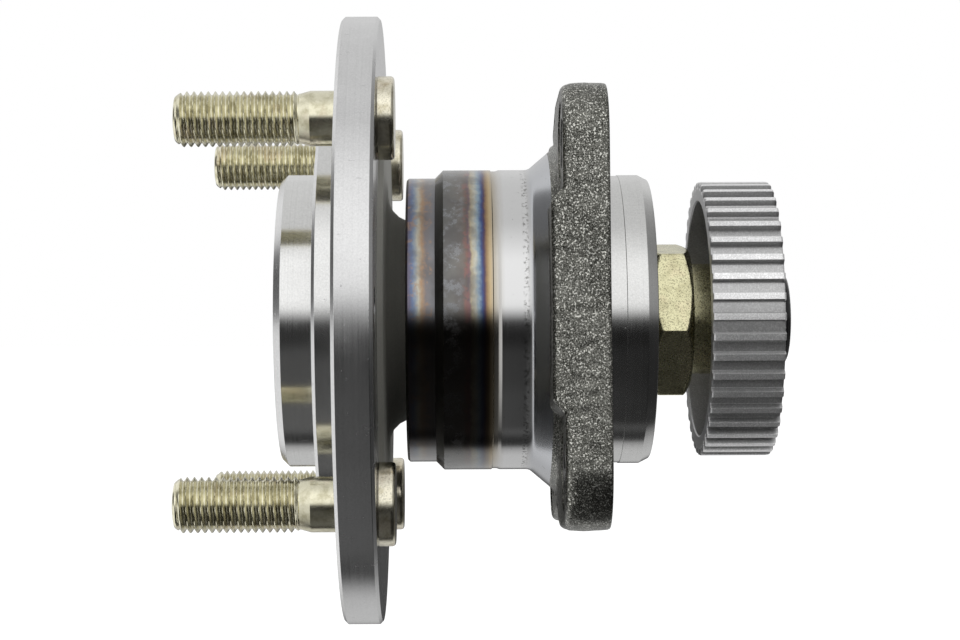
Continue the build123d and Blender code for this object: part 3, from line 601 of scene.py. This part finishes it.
# %% wheel studs
def stud_grid(clock, columns=48, per_pitch=12):
    """Radius = root + (crest - root) * tooth(x / pitch - angle / turn), held under the point's cone."""
    crest, root = 5.88, 5.02
    start, fade, shoulder, neck = STUD_TIP, -64.7, DISC_FACE - 5.4, 5.2
    x = np.arange(start + 0.25, fade, STUD_PITCH / per_pitch)
    angle = around(columns)[None, :]
    phase = (x[:, None] / STUD_PITCH - angle / (2 * np.pi) + clock / 97.0) % 1.0
    tooth = np.clip((0.5 - np.abs(phase - 0.5)) * 2.35 - 0.18, 0, 1)
    tooth = tooth * tooth * (3 - 2 * tooth) * 0.35 + tooth * 0.65
    thread = root + (crest - root) * tooth
    cone = 4.2 + 1.05 * np.clip((x - start) / 0.9, 0, 1) ** 0.6
    cone = cone + np.clip((x - start - 0.9) / 1.2, 0, 1) * 0.75
    radius = np.minimum(thread, cone[:, None] + 0 * thread)
    end = np.clip((x - (fade - 1.2)) / 1.2, 0, 1)[:, None]
    radius = radius * (1 - end) + np.minimum(radius, neck) * end
    nose = np.array([[start, 0.0], [start, 3.4], [start + 0.1, 4.0]])
    tail, _ = rounded([(fade, neck, 0, 0), (shoulder, STUD_BODY, 0.3, 0), (DISC_FACE + 0.6, STUD_BODY, 0, 0),
                       (DISC_FACE + 0.6, STUD_KNURL, 0, 0), (RIM_FACE - 0.1, STUD_KNURL, 0, 0),
                       (RIM_FACE - 0.02, STUD_HEAD - 0.18, 0.1, 0), (RIM_FACE + 0.4, STUD_HEAD, 0.15, 0),
                       (HEAD_END, STUD_HEAD, 0.8, 0), (HEAD_END, 0, 0, 0)])
    stations = np.concatenate([nose[:, 0], x, tail[:, 0]])
    radii = np.vstack([np.repeat(nose[:, 1:], columns, 1), radius, np.repeat(tail[:, 1:], columns, 1)])
    centre = off_axis(STUD_CIRCLE, clock)
    zones = (stations > RIM_FACE - 0.15).astype(int)[:-1]
    return spin(stations[:, None], radii, angle, centre), zones


studs = []
for number, clock in enumerate(STUD_CLOCKS, 1):
    grid, zones = stud_grid(clock)
    studs.append(make_piece(f"stud_looks_{number}", grid, [stud_zinc, head_steel], zones))
print("stud faces each:", len(studs[0].data.polygons))

# %% [markdown]
# ## Outer ring
# The barrel is turned and ground. Its profile is a closed loop: out over the nose, the barrel, the cone and
# the carrier pilot, and back through the two races and the seal seats.


# %% ring barrel
def race_arc(row, start, end, zone=2):
    """Points on a race's arc, from one angle to another measured from the axis direction."""
    angles = np.radians(np.linspace(start, end, 14))
    return [(row + RACE_TUBE * math.cos(a), PITCH_RADIUS + RACE_TUBE * math.sin(a), 0, zone) for a in angles]


cone_top, relief_radius = 38.4, 32.55
cone_end = CONE_START + (cone_top - BARREL_RADIUS) / CONE_SLOPE
groove_floor, inner_seat = BARREL_RADIUS - GROOVE_DEPTH, CARRIER_PILOT_END - SEAL_BORE_DEPTH
outside = [
    (RING_END, SEAL_BORE_RADIUS, 0.1, 1), (RING_END, 31.65, 0.12, 0), (RING_END + 0.5, NOSE_RADIUS, 0.15, 0),
    (NOSE_END, NOSE_RADIUS, 0.25, 0), (BARREL_START, BARREL_RADIUS, 0.2, 0),
    (GROOVE_START, BARREL_RADIUS, 0.06, 0), (GROOVE_START + 0.15, groove_floor, 0.06, 0),
    (GROOVE_START + 1.1, groove_floor, 0.5, 0), (GROOVE_END, BARREL_RADIUS, 0.3, 0),
    (CONE_START, BARREL_RADIUS, 2.2, 0), (cone_end, cone_top, 0, 0), (-8.0, cone_top, 0, 1),
    (-2.0, cone_top, 0, 1), (-0.4, relief_radius, 0, 1), (4.4, relief_radius, 0.05, 1),
    (4.5, CARRIER_PILOT_RADIUS, 0.05, 1), (9.0, CARRIER_PILOT_RADIUS, 0.5, 1),
    (CARRIER_PILOT_END, 31.6, 0.4, 1), (CARRIER_PILOT_END, SEAL_BORE_RADIUS, 0.1, 1),
    (inner_seat, SEAL_BORE_RADIUS, 0, 1), (inner_seat, LOW_SHOULDER_RADIUS, 0, 2),
]
inside = race_arc(BALL_ROWS[1], 64, 151) + race_arc(BALL_ROWS[0], 29, 116)
outer_seat = RING_END + SEAL_BORE_DEPTH
inside += [(outer_seat, LOW_SHOULDER_RADIUS, 0, 1), (outer_seat, SEAL_BORE_RADIUS, 0, 1)]
barrel = turned("ring_barrel", outside + inside, [barrel_steel, pilot_ground, bearing_steel], 288, loop=True)
print("barrel faces:", len(barrel.data.polygons))

# %% [markdown]
# ## Cast flange
# Its outline is the tight band round a few circles. The point of such a band in direction n is on the
# circle with the largest `centre . n + radius`, and making every radius smaller gives the drafted outline.


# %% cast flange
def band_radius(circles, shrink, columns):
    """The radius of the tight band round circles (y, z, radius), by clock angle.

    reach(n) = max(centre . n + radius) - shrink, and radius(a) = min over n of reach(n) / cos(n - a)."""
    normal = np.linspace(0, 2 * np.pi, 1441)[:-1]
    reach = np.max([-y * np.sin(normal) + z * np.cos(normal) + r for y, z, r in circles], axis=0) - shrink
    slant = np.cos(normal[:, None] - around(columns)[None, :])
    return np.where(slant > 0.2, reach[:, None] / np.maximum(slant, 0.2), 1e3).min(axis=0)


def flange_outline(shrink, columns):
    """Near half and far half of the outline joined by a smooth maximum, in millimetres."""
    turn, reach = math.radians(FLANGE_TURN), FLANGE_CIRCLE / math.sqrt(2)
    cos, sin = math.cos(turn), math.sin(turn)

    def place(across, up, radius):
        """A circle (y, z, radius), with its centre turned by the flange's small angle."""
        return across * cos - up * sin, up * cos + across * sin, radius

    core, shoulder = (0, 0, FLANGE_CORE), reach + SHOULDER_LIFT
    near = [core] + [place(-reach, up * reach, NEAR_EAR) for up in (-1, 1)]
    near += [place(-SHOULDER_SPREAD, up * shoulder, SHOULDER_ROUND) for up in (-1, 1)]
    far = [core] + [place(reach, up * reach, FAR_EAR) for up in (-1, 1)]
    a, b = band_radius(near, shrink, columns), band_radius(far, shrink, columns)
    soft = 1.6
    meet = np.clip(0.5 + 0.5 * (a - b) / soft, 0, 1)
    return b + (a - b) * meet + soft * meet * (1 - meet)


def ease(value, low, high):
    """0 below low, 1 above high, and 3t^2 - 2t^3 between."""
    t = np.clip((value - low) / (high - low), 0, 1)
    return t * t * (3 - 2 * t)


def lumps(y, z, x, size, seed):
    """A sum of sine waves in random directions: a smooth unevenness between about -1 and 1."""
    random = np.random.default_rng(seed)
    total = np.zeros(np.broadcast(x, y, z).shape)
    for _ in range(14):
        wave = random.normal(size=3)
        wave *= 2 * np.pi / (size * random.uniform(0.7, 1.6)) / np.linalg.norm(wave)
        total = total + np.sin(wave[0] * x + wave[1] * y + wave[2] * z + random.uniform(0, 6.3))
    return total / 3.7


def flange_grid(columns=900):
    """Rows from the cone out over the outboard face, round the edge, down the drafted side and back in."""
    angle = around(columns)
    side_y, up_z = -np.sin(angle), np.cos(angle)
    pad_clock = math.radians(90 + FLANGE_TURN)
    across = math.cos(pad_clock) * side_y + math.sin(pad_clock) * up_z
    rows_x, rows_r, face_rows = [], [], 34

    def face_station(radius):
        """The outboard face: far level, near level, or pad level, eased between them."""
        y, w = radius * side_y, radius * across
        level = FAR_FACE + (NEAR_FACE - FAR_FACE) * ease(-y, -8.0, 0.0)
        pad = ease(-np.abs(w), -24.0, -20.5)
        return level + (PAD_FACE - level) * pad

    edge, back_edge, bore = 1.7, 0.6, 32.6
    rim_face = face_station(flange_outline(0.4, columns))
    inset = DRAFT * (PARTING - rim_face)
    outer = flange_outline(0, columns)
    top = outer - inset - edge * 1.05
    start = np.full(columns, 37.6)
    for t in np.linspace(0, 1, face_rows):
        radius = start + (top - start) * t
        face, cone = face_station(radius), CONE_START + (radius - BARREL_RADIUS) / CONE_SLOPE
        soft = 1.5
        h = np.clip(0.5 + 0.5 * (cone - face) / soft, 0, 1)
        rows_x.append(cone + (face - cone) * h - soft * h * (1 - h))
        rows_r.append(radius)
    for turn in np.radians(np.linspace(8, 82, 7)):
        rows_x.append(rim_face + edge * (1 - np.cos(turn)))
        rows_r.append(top + edge * np.sin(turn))
    for t in np.linspace(0.12, 1, 9):
        x = (rim_face + edge) + (PARTING - 0.25 - rim_face - edge) * t
        rows_x.append(x)
        rows_r.append(outer - DRAFT * (PARTING - x))
    rows_x.append(np.full(columns, PARTING))
    rows_r.append(outer)
    for x in np.linspace(PARTING + 0.25, -0.75, 6):
        rows_x.append(np.full(columns, x))
        rows_r.append(outer - DRAFT * (x - PARTING))
    base = outer - DRAFT * -PARTING
    for turn in np.radians(np.linspace(15, 90, 5)):
        rows_x.append(np.full(columns, -back_edge + back_edge * np.sin(turn)))
        rows_r.append(base - back_edge * (1 - np.cos(turn)))
    for t in np.linspace(0.04, 1, 14):
        rows_x.append(np.full(columns, 0.0))
        rows_r.append((base - back_edge) + (bore - base + back_edge) * t)
    x, radius = np.array(rows_x), np.array(rows_r)
    y, z = -radius * np.sin(angle), radius * np.cos(angle)
    raw = ease(radius, 38.0, 39.6) * ease(-x, 0.05, 1.4)
    swell = lumps(y, z, x, 7.0, 3) * 0.05 + lumps(y, z, x, 2.6, 8) * 0.035 - 0.1
    out = ease(-x, 1.0, 3.0) * raw * swell
    flatness = np.zeros_like(x)
    flatness[:face_rows] = 1
    x = x - out * flatness
    radius = radius + out * (1 - flatness)
    grid = spin(x, radius, angle[None, :])
    back = spin(np.array([[-3.0], [-8.0]]), bore, angle[None, :])
    return np.concatenate([grid, back])


grid = flange_grid()
zones = np.zeros(len(grid), int)
ground_rows = 16
zones[-ground_rows:] = 1
flange = make_piece("cast_flange", grid, [cast_skin, pilot_ground], zones, loop=True)
tools = []
for clock, face in ((40, NEAR_FACE), (130, NEAR_FACE), (220, FAR_FACE), (310, FAR_FACE)):
    centre, seat = off_axis(FLANGE_CIRCLE, clock), face + 0.4
    tools.append(hole(-14, 1, CARRIER_HOLE_RADIUS, centre, zone_material=pilot_ground))
    spot = [(-20, 0, 0, 0), (-20, SPOT_FACE_RADIUS, 0, 0), (seat, SPOT_FACE_RADIUS, 0, 0), (seat, 0, 0, 0)]
    tools.append(turned("spot", spot, [spot_dark], 64, centre=centre))
flange = drilled(flange, tools)
print("flange faces:", len(flange.data.polygons))

# %% [markdown]
# ## Spindle nut
# A hexagon's radius at an angle is `half flats / cos(angle to the nearest flat)`. The chamfer at each end is
# a cone, and the nut's radius is the smooth minimum of the two.


# %% spindle nut
def nut_grid(columns=360):
    """Hexagon rows with chamfered ends, then the shank, and back through the bore."""
    angle = around(columns)
    nearest = (angle - math.radians(NUT_CLOCK)) % (math.pi / 3) - math.pi / 6
    flats = HALF_FLATS / np.cos(nearest)
    steps = np.array([0, 0.12, 0.3, 0.6, 0.9, 1.2, 1.5, 1.8])
    x = np.concatenate([HEX_START + steps, np.linspace(13.9, 18.3, 5), HEX_END - steps[::-1]])
    inboard = 15.55 + np.minimum(x - HEX_START, HEX_END - x) / 0.58
    soft = 0.22
    a, b = flats[None, :], inboard[:, None]
    h = np.clip(0.5 + 0.5 * (b - a) / soft, 0, 1)
    radius = b + (a - b) * h - soft * h * (1 - h)
    tail, _ = rounded([(HEX_END, 13.3, 0, 0), (HEX_END + 0.02, SHANK_RADIUS, 0.3, 0),
                       (SHANK_END - 0.6, SHANK_RADIUS, 0.15, 0), (SHANK_END, 11.95, 0.1, 0),
                       (SHANK_END, NUT_BORE, 0, 0), (HEX_START, NUT_BORE, 0, 0)])
    stations = np.concatenate([x, tail[:, 0]])
    radii = np.vstack([radius, np.repeat(tail[:, 1:], columns, 1)])
    return spin(stations[:, None], radii, angle[None, :])


nut = make_piece("nut_looks", nut_grid(), [nut_zinc], loop=True)
soften(nut, 50)
print("nut faces:", len(nut.data.polygons))

# %% [markdown]
# ## Toothed ring
# Round the rim the radius switches between root and tip. `tooth` is a trapezoid wave of the angle, so its
# flanks slope a little, as pressed teeth do. The teeth in view are 8.1 degrees apart, which makes 44.


# %% toothed ring
def tone_grid(per_tooth=16):
    """Outer rows with teeth, then the cup's inside, the web and the hub, back to the start."""
    columns = TEETH * per_tooth
    angle = around(columns) - math.radians(TOOTH_CLOCK)
    phase = (angle * TEETH / (2 * np.pi) + 0.5) % 1.0 - 0.5
    pitch = 2 * np.pi * TIP_RADIUS / TEETH
    along = np.abs(phase) * pitch
    tooth = 1 - ease(along, 0.75, 1.0)
    ahead = CUP_START + np.array([0, 0.1, 0.35, 0.6, 4])
    behind = SHANK_END - np.array([4, 0.6, 0.35, 0.1, 0.02])
    x = np.concatenate([ahead, behind])
    drop = np.array([0.45, 0.18, 0.03, 0, 0, 0, 0, 0.03, 0.18, 0.45])
    low, high = TOOTH_ROOT - drop * 0.4, TIP_RADIUS - drop
    radius = low[:, None] + (high - low)[:, None] * tooth[None, :]
    fit, boss = SHANK_RADIUS + 0.05, 15.5
    rest, _ = rounded([(SHANK_END, 28.6, 0, 0), (SHANK_END, 13.2, 0.1, 0), (SHANK_END - 0.5, fit, 0, 0),
                       (CUP_WEB, fit, 0, 0), (CUP_WEB, boss, 0.5, 0), (CUP_FLOOR, boss, 1.2, 0),
                       (CUP_FLOOR, CUP_BORE, 1.5, 0), (CUP_START + 0.02, CUP_BORE, 0.3, 0),
                       (CUP_START, 28.9, 0.0, 0)])
    stations = np.concatenate([x, rest[:, 0]])
    radii = np.vstack([radius, np.repeat(rest[:, 1:], columns, 1)])
    return spin(stations[:, None], radii, around(columns)[None, :])


tone_ring = make_piece("tone_ring_looks", tone_grid(), [tone_steel], loop=True)
cap_foot, cap_flange, cap_plug = 35.3, SHANK_END + 0.02, CAP_RADIUS - 0.6
cap_profile = [(cap_foot, 0, 0, 0), (cap_foot, cap_plug, 0.3, 0), (cap_flange, cap_plug, 0, 0),
               (cap_flange, CAP_RADIUS, 0.2, 0), (CAP_END, CAP_RADIUS, 3.0, 0), (CAP_END, 0, 0, 0)]
cap = turned("cap_looks", cap_profile, [cap_plastic], 160)
print("toothed ring faces:", len(tone_ring.data.polygons))

# %% [markdown]
# ## Riding on the frame
# Each piece rides on its body and stands for its CAD node. The inner ring, seals, cages and balls keep
# their CAD meshes and get materials of their own.

# %% ride and replace
riders = [(hub, "hub", "hub", "hub_steel"), (nut, "hub", "spindle_nut", "yellow_zinc"),
          (tone_ring, "hub", "tone_ring", "tone_steel"), (cap, "hub", "end_cap", "cap_plastic"),
          (barrel, "outer_ring", "outer_ring", "ring_steel"),
          (flange, "outer_ring", "outer_ring", "ring_steel")]
riders += [(stud, "hub", f"wheel_stud_{number}", "yellow_zinc") for number, stud in enumerate(studs, 1)]
for piece, body, node, slot in riders:
    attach(piece, body)
    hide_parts(node)

kept = {"inner_ring": bearing_steel, "inboard_slinger": pressed_steel, "outboard_seal_case": pressed_steel,
        "inboard_seal_case": pressed_steel, "outboard_seal_lip": seal_rubber, "inboard_seal_lip": seal_rubber,
        "outboard_cage": cage_plastic, "inboard_cage": cage_plastic}
kept.update({node: bearing_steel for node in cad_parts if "_ball_" in node})
for node, material in kept.items():
    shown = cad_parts[node]
    shown.data.materials.clear()
    shown.data.materials.append(material)
print("pieces built:", len(riders), "CAD nodes kept:", len(kept))

# %% [markdown]
# ## Camera
# The camera stands 497 mm in front of the axis, level with it, and 33.4 mm outboard of the origin. A small
# sideways shift keeps the lens square to the axis. The axis rises by 0.3 degrees to the right.

# %% camera
camera = bpy.data.objects.new("camera", bpy.data.cameras.new("camera"))
bpy.context.scene.collection.objects.link(camera)
sensor, picture_width, focal_pixels, shift_pixels = 36, 960, 2183, 30
camera.data.sensor_width = sensor
camera.data.lens = focal_pixels * sensor / picture_width
camera.data.shift_x = shift_pixels / picture_width
camera.data.clip_start, camera.data.clip_end = 0.01, 20
camera.location = (-0.0334, -0.497, 0)
camera.rotation_euler = (math.radians(90), math.radians(0.3), 0)
bpy.context.scene.camera = camera
print("lens:", round(camera.data.lens, 1), "mm")

# %% [markdown]
# ## Light
# Steel shows its surroundings, so the surroundings are drawn by direction. The angle runs from 0 at the
# front horizon over the top to 180 behind, and to -180 under the floor. A bright soft box stands in front
# above the horizon, the ceiling is paler, and in front below the horizon it is dark, with a light strip
# under the part. To the left stands a bright panel with a dark top, and the right side is dark. The camera
# itself sees plain white. One area light adds a soft front light that no mirror shows.


# %% surroundings
def surroundings():
    """World brightness by direction: angle = atan2(up, towards the front) in degrees, and the side."""
    strength = 1.5
    world = bpy.data.worlds.new("surroundings")
    bpy.context.scene.world = world
    world.use_nodes = True
    tree = world.node_tree
    tree.nodes.clear()
    way = Shade(tree, tree.nodes.new("ShaderNodeTexCoord").outputs["Generated"])
    x, y, z = (way.node("ShaderNodeSeparateXYZ", {"Vector": way}, output=k) for k in range(3))
    angle = (way.math("ARCTAN2", z, y * -1.0) * (180 / math.pi) + 180) / 360
    levels = [(-180, 0.05), (-166, 0.08), (-158, 0.60), (-150, 0.64), (-126, 0.70), (-116, 0.50),
              (-111, 0.03), (-103, 0.03), (-94, 0.13), (-60, 0.13), (-48, 0.10), (-25, 0.09), (-15, 0.03),
              (-1, 0.03), (10, 1.25), (46, 1.28), (60, 1.05), (78, 0.80), (150, 0.82), (179, 0.62),
              (180, 0.05)]
    front = ramp(angle, [(scaled(turn, -180, 180), (level / strength,) * 3) for turn, level in levels])
    low_front = [scaled(turn, -180, 180) for turn in (-96, -88, -10, -2)]
    fade = smooth(x, -0.02, 0.07, 0.0, 0.88) * between(angle, *low_front)
    front = mix(fade, front, (0.004, 0.004, 0.004))
    left, right = smooth(x, -0.35, -0.62), smooth(x, 0.35, 0.7)
    above = smooth(z, -0.05, 0.06) * smooth(x, -0.80, -0.90)
    sides = mix(left, front, (1.05 / strength,) * 3)
    sides = mix(above, sides, (0.12 / strength,) * 3)
    low_right = mix(smooth(z, -0.10, 0.10), (0.02, 0.02, 0.02), (0.15, 0.15, 0.15))
    sides = mix(right * 0.85, sides, low_right)
    path = Shade(tree, tree.nodes.new("ShaderNodeLightPath").outputs["Is Camera Ray"])
    seen = way.node("ShaderNodeBackground", {"Color": (1, 1, 1, 1), "Strength": 1.0})
    lit = way.node("ShaderNodeBackground", {"Color": sides, "Strength": strength})
    shader = tree.nodes.new("ShaderNodeMixShader")
    out = tree.nodes.new("ShaderNodeOutputWorld")
    tree.links.new(path.socket, shader.inputs[0])
    tree.links.new(lit.socket, shader.inputs[1])
    tree.links.new(seen.socket, shader.inputs[2])
    tree.links.new(shader.outputs[0], out.inputs["Surface"])


surroundings()
key = bpy.data.objects.new("key_light", bpy.data.lights.new("key_light", "AREA"))
bpy.context.scene.collection.objects.link(key)
key.data.shape, key.data.size, key.data.size_y, key.data.energy = "RECTANGLE", 0.5, 0.4, 1.3
key.location = (-0.15, -0.55, 0.55)
key.visible_glossy = False
key.rotation_euler = (math.radians(45), 0, math.radians(-15))
print("key light:", key.data.energy, "W")

# %% [markdown]
# ## Floor
# A pale floor lies 43 mm under the part. The camera sees it nearly white with a soft shadow; other rays
# pass through to the surroundings, so that the steel keeps the dark lower front.


# %% floor
def floor_material():
    """Glow plus matt paint for the camera's own rays, and clear for all others."""
    material = bpy.data.materials.new("floor")
    material.use_nodes = True
    tree = material.node_tree
    tree.nodes.clear()
    path = Shade(tree, tree.nodes.new("ShaderNodeLightPath").outputs["Is Camera Ray"])
    glow = path.node("ShaderNodeEmission", {"Color": (1, 1, 1, 1), "Strength": 0.86})
    paint = path.node("ShaderNodeBsdfDiffuse", {"Color": (0.30, 0.30, 0.30, 1)})
    clear = path.node("ShaderNodeBsdfTransparent", {})
    both = path.node("ShaderNodeAddShader", {0: glow, 1: paint})
    final = path.node("ShaderNodeMixShader", {0: path, 1: clear, 2: both})
    out = tree.nodes.new("ShaderNodeOutputMaterial")
    tree.links.new(final.socket, out.inputs["Surface"])
    return material


floor_level = -0.112
square = np.array([[-6, -3, floor_level], [6, -3, floor_level], [6, 9, floor_level], [-6, 9, floor_level]])
floor_mesh = bpy.data.meshes.new("floor")
floor_mesh.from_pydata(square.tolist(), [], [[0, 1, 2, 3]])
floor_mesh.materials.append(floor_material())
floor = bpy.data.objects.new("floor", floor_mesh)
bpy.context.scene.collection.objects.link(floor)
bpy.context.scene.view_settings.view_transform = "Standard"
print("floor at", floor_level, "m")
